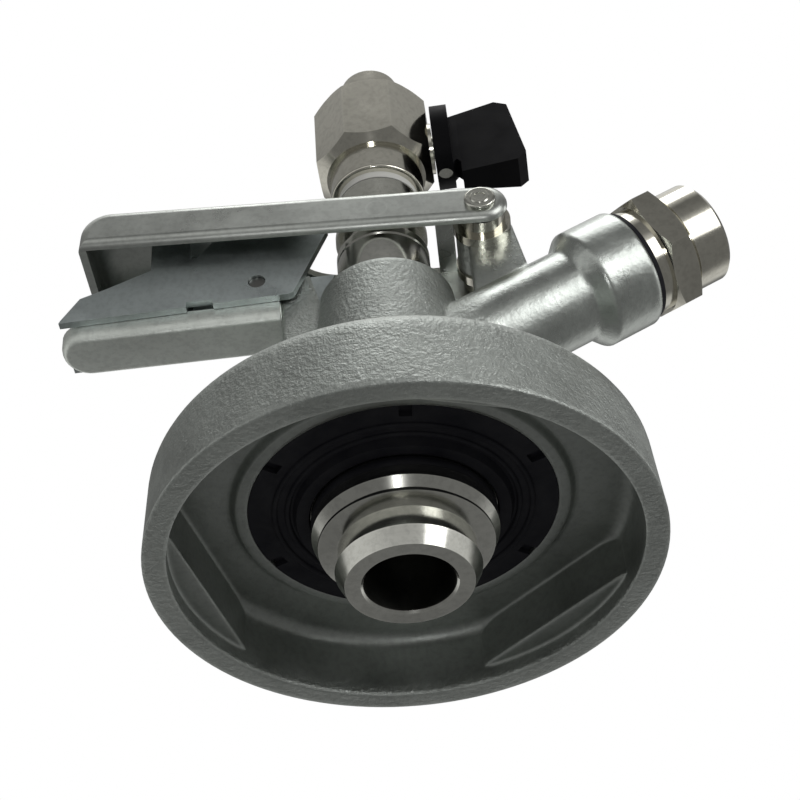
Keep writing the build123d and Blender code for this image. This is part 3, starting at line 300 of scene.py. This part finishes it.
looks = {
    # the inlet_side zone's tone of 1.22 is painted light on the tube, hub and post; its lower roughness
    # is their real smoother finish
    "cast": metal("cast_satin_chrome", (0.46, 0.485, 0.46), 0.44, grain_size=0.9 * MM, grain=1.6,
                  wear=0.45, dirt=0.80, rounding=1.4 * MM, calm=0.16,
                  # the bell_inside zone's tone of 0.82 is painted shade in the bell's hollow
                  zones=(Zone(inlet_side, tone=1.22, rough=0.66), Zone(bell_inside, tone=0.82))),
    # the grip's cast is painted much lighter than the body's cast as painted light; its finer grain is
    # real
    "cast_fine_painted_light": metal("cast_fine_painted_light", (0.86, 0.90, 0.85), 0.46, grain=0.35, wear=0.35, dirt=0.88),
    # the bore zone's tone of 0.30 is painted shade inside the bore; its higher roughness is real
    "probe": metal("probe_steel", (0.70, 0.70, 0.65), 0.17, brushed=ROUND_AXIS, wear=0.4,
                   rough_spread=0.04, zones=(Zone(bore, tone=0.30, rough=2.0),)),
    "turned": metal("turned_steel", (0.66, 0.66, 0.60), 0.17, brushed=ROUND_AXIS, wear=0.4,
                    rough_spread=0.04),
    "nickel": metal("nickel_plate", (0.70, 0.68, 0.60), 0.14, brushed=EVEN, wear=0.4,
                    rough_spread=0.04),
    # the latch sheet's bluish tint is a painted reflection of a bluish surround
    "sheet": metal("latch_sheet", (0.50, 0.55, 0.55), 0.34, brushed=ALONG_X, wear=0.3),
    "lever": metal("lever_sheet", (0.54, 0.56, 0.53), 0.34, brushed=ALONG_X, wear=0.35),
    "spring": metal("spring_wire", (0.20, 0.20, 0.19), 0.40, brushed=EVEN, wear=0.1),
    "bronze": metal("bronze_bush", (0.52, 0.38, 0.20), 0.34, brushed=EVEN, wear=0.3),
    "rubber": rubber("black_rubber", (0.008, 0.008, 0.012)),
    "white": rubber("white_seal", (0.72, 0.72, 0.69), rough=0.5, bloom=0.005),
    "black": plastic("black_plastic", (0.004, 0.004, 0.005), rough=0.5),
}
nodes_of_look = {
    "cast": ("body",),
    "cast_fine_painted_light": ("grip",),
    "probe": ("probe",),
    "turned": ("grip_screw", "lift_collar", "lift_nut", "pivot_pin", "valve_stem", "handle_screw"),
    "nickel": ("pivot_bushes", "pivot_washers", "gas_collar", "gas_adapter", "valve_body",
               "gland_nut", "outlet_end", "valve_ball"),
    "sheet": ("latch",),
    "lever": ("lever", "lever_studs"),
    "spring": ("latch_pin", "latch_stop_pin", "latch_spring", "check_spring", "ball_retainer"),
    "bronze": ("guide_bush",),
    "rubber": ("bottom_seal", "neck_seal", "gas_gasket", "probe_o_ring", "check_ball"),
    "white": ("check_poppet", "valve_gasket", "valve_seats", "stem_packing"),
    "black": ("valve_handle",),
}
for look, names in nodes_of_look.items():
    for name in names:
        for slot in nodes[name].material_slots:
            slot.material = looks[look]


# ---------------------------------------------------------------- pieces of the scene
def solid_of_rings(name, rings, look, body):
    """Closed body skinned over rings of as many points each, which rides on a CAD body."""
    points = [point for ring in rings for point in ring]
    count = len(rings[0])
    faces = [tuple(range(count)), tuple(reversed(range(len(points) - count, len(points))))]
    for level in range(len(rings) - 1):
        low, high = level * count, (level + 1) * count
        for i in range(count):
            j = (i + 1) % count
            faces.append((low + j, low + i, high + i, high + j))
    mesh = bpy.data.meshes.new(name)
    mesh.from_pydata(points, [], faces)
    mesh.materials.append(looks[look])
    mesh.shade_smooth()
    piece = bpy.data.objects.new(name, mesh)
    scene.collection.objects.link(piece)
    sharp = piece.modifiers.new("sharp edges", "EDGE_SPLIT")
    sharp.split_angle = math.radians(35)
    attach(piece, body)


def grip_bar():
    """Fuller half-round bar of the grip, whose sides come close to the latch's side plates."""
    latch_sheet, clearance = 1.5 * MM, 0.1 * MM
    length, proud = 41.9 * MM, 0.2 * MM
    top_bevel, curve_height, curve_width = 0.3 * MM, 2.4 * MM, 1.4 * MM
    curve_steps, nose_steps = 8, 16
    grip = Vector(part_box("grip")[0])
    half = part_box("latch")[1][1] - latch_sheet - clearance
    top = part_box("latch_spring")[0][2] + 0.05 * MM
    foot = grip.z - proud
    levels = [(top, top_bevel), (top - top_bevel, 0.0)]
    for k in range(curve_steps + 1):
        turn = math.pi / 2 * k / curve_steps
        levels.append((foot + curve_height * (1 - math.sin(turn)), curve_width * (1 - math.cos(turn))))
    rings = []
    for z, inset in levels:
        width = half - inset
        ring = [(grip.x + length, width, z)]
        for k in range(nose_steps + 1):
            turn = math.pi / 2 + math.pi * k / nose_steps
            ring.append((grip.x + half + width * math.cos(turn), width * math.sin(turn), z))
        ring.append((grip.x + length, -width, z))
        rings.append(ring)
    # the bar takes the grip's look, whose lighter colour is painted light
    solid_of_rings("grip_bar", rings, "cast_fine_painted_light", "casting")


def rivet_lip(name, side):
    """Raised lip round the dimple in the head of the pivot's rivet, on one side."""
    outer, inner, rise = 2.1 * MM, 0.9 * MM, 0.2 * MM
    outer_slope, inner_slope = 0.4 * MM, 0.2 * MM
    steps = 32
    low, high = (Vector(corner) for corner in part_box("pivot_pin"))
    middle = (low + high) / 2
    face = high.y if side > 0 else low.y
    profile = ((inner, -rise), (inner + inner_slope, rise), (outer - outer_slope, rise), (outer, -rise))
    rings = []
    for radius, out in profile:
        turns = [2 * math.pi * k / steps for k in range(steps)]
        rings.append([(middle.x + radius * math.cos(turn), face + side * out,
                       middle.z + side * radius * math.sin(turn)) for turn in turns])
    solid_of_rings(name, rings, "turned", "lever")


# ---------------------------------------------------------------- camera
def photo_camera():
    """Camera at the photograph's viewpoint: 42 degrees below, in front of the bell's mouth."""
    elevation, roll = math.radians(42.23), math.radians(-6.45)
    aside, above, away = 0.0075, 0.0270, 0.3003
    forward = Vector((0, math.cos(elevation), math.sin(elevation)))
    level = Vector((1, 0, 0))
    upright = Vector((0, -math.sin(elevation), math.cos(elevation)))
    across = math.cos(roll) * level + math.sin(roll) * upright
    up = math.cos(roll) * upright - math.sin(roll) * level
    place = aside * across + above * up - away * forward
    camera = bpy.data.objects.new("camera", bpy.data.cameras.new("camera"))
    scene.collection.objects.link(camera)
    turned = Matrix((across, up, -forward)).transposed().to_4x4()
    camera.matrix_world = Matrix.Translation(place) @ turned
    camera.data.sensor_width = 36.0
    camera.data.lens = 81.0
    camera.data.shift_x = -0.06675
    camera.data.shift_y = -0.0005
    camera.data.clip_start = 0.01
    scene.camera = camera


# ---------------------------------------------------------------- light and backdrop
def studio_sky():
    """Plain white backdrop for the camera, and soft bands of grey for the metal to mirror."""
    bands = [(0.0, 0.16), (0.30, 0.16), (0.42, 0.62), (0.56, 0.62), (0.67, 0.20), (0.86, 0.14),
             (0.97, 0.80)]           # height, from 0 below to 1 above, and brightness
    world = bpy.data.worlds.new("studio")
    scene.world = world
    world.use_nodes = True
    tree = world.node_tree
    tree.nodes.clear()
    add, link = tree.nodes.new, tree.links.new
    coord = add("ShaderNodeTexCoord")
    split = add("ShaderNodeSeparateXYZ")
    link(coord.outputs["Generated"], split.inputs["Vector"])
    height = add("ShaderNodeMapRange")
    height.inputs["From Min"].default_value = -1.0
    height.inputs["From Max"].default_value = 1.0
    link(split.outputs["Z"], height.inputs["Value"])
    sky = add("ShaderNodeValToRGB")
    while len(sky.color_ramp.elements) < len(bands):
        sky.color_ramp.elements.new(0.5)
    for element, (where, value) in zip(sky.color_ramp.elements, bands):
        element.position = where
        element.color = (value, value, value * 0.985, 1.0)
    link(height.outputs["Result"], sky.inputs["Fac"])
    soft = add("ShaderNodeBackground")
    link(sky.outputs["Color"], soft.inputs["Color"])
    white = add("ShaderNodeBackground")
    white.inputs["Color"].default_value = (1, 1, 1, 1)
    path = add("ShaderNodeLightPath")
    choose = add("ShaderNodeMixShader")
    link(path.outputs["Is Camera Ray"], choose.inputs["Fac"])
    link(soft.outputs["Background"], choose.inputs[1])
    link(white.outputs["Background"], choose.inputs[2])
    out = add("ShaderNodeOutputWorld")
    link(choose.outputs["Shader"], out.inputs["Surface"])


def area(name, at, towards, size, power):
    """Round soft lamp, aimed at a point."""
    data = bpy.data.lights.new(name, "AREA")
    data.shape = "DISK"
    data.size = size
    data.energy = power
    lamp = bpy.data.objects.new(name, data)
    scene.collection.objects.link(lamp)
    lamp.location = at
    lamp.rotation_euler = (Vector(towards) - Vector(at)).to_track_quat("-Z", "Y").to_euler()


grip_bar()
rivet_lip("rivet_lip_far", 1)
rivet_lip("rivet_lip_near", -1)
photo_camera()
studio_sky()
area("overhead", (0.05, -0.30, 1.15), (0, 0, 0.05), 0.60, 1.8)
area("side_right", (0.95, 0.15, 0.40), (0, 0, 0.05), 0.35, 0.6)
area("window", (0.80, -0.80, 0.00), (0.03, 0, 0.05), 0.80, 3.2)
area("behind_camera", (-0.05, -0.80, -0.80), (0, 0, 0.02), 0.12, 0.8)
scene.view_settings.view_transform = "Standard"
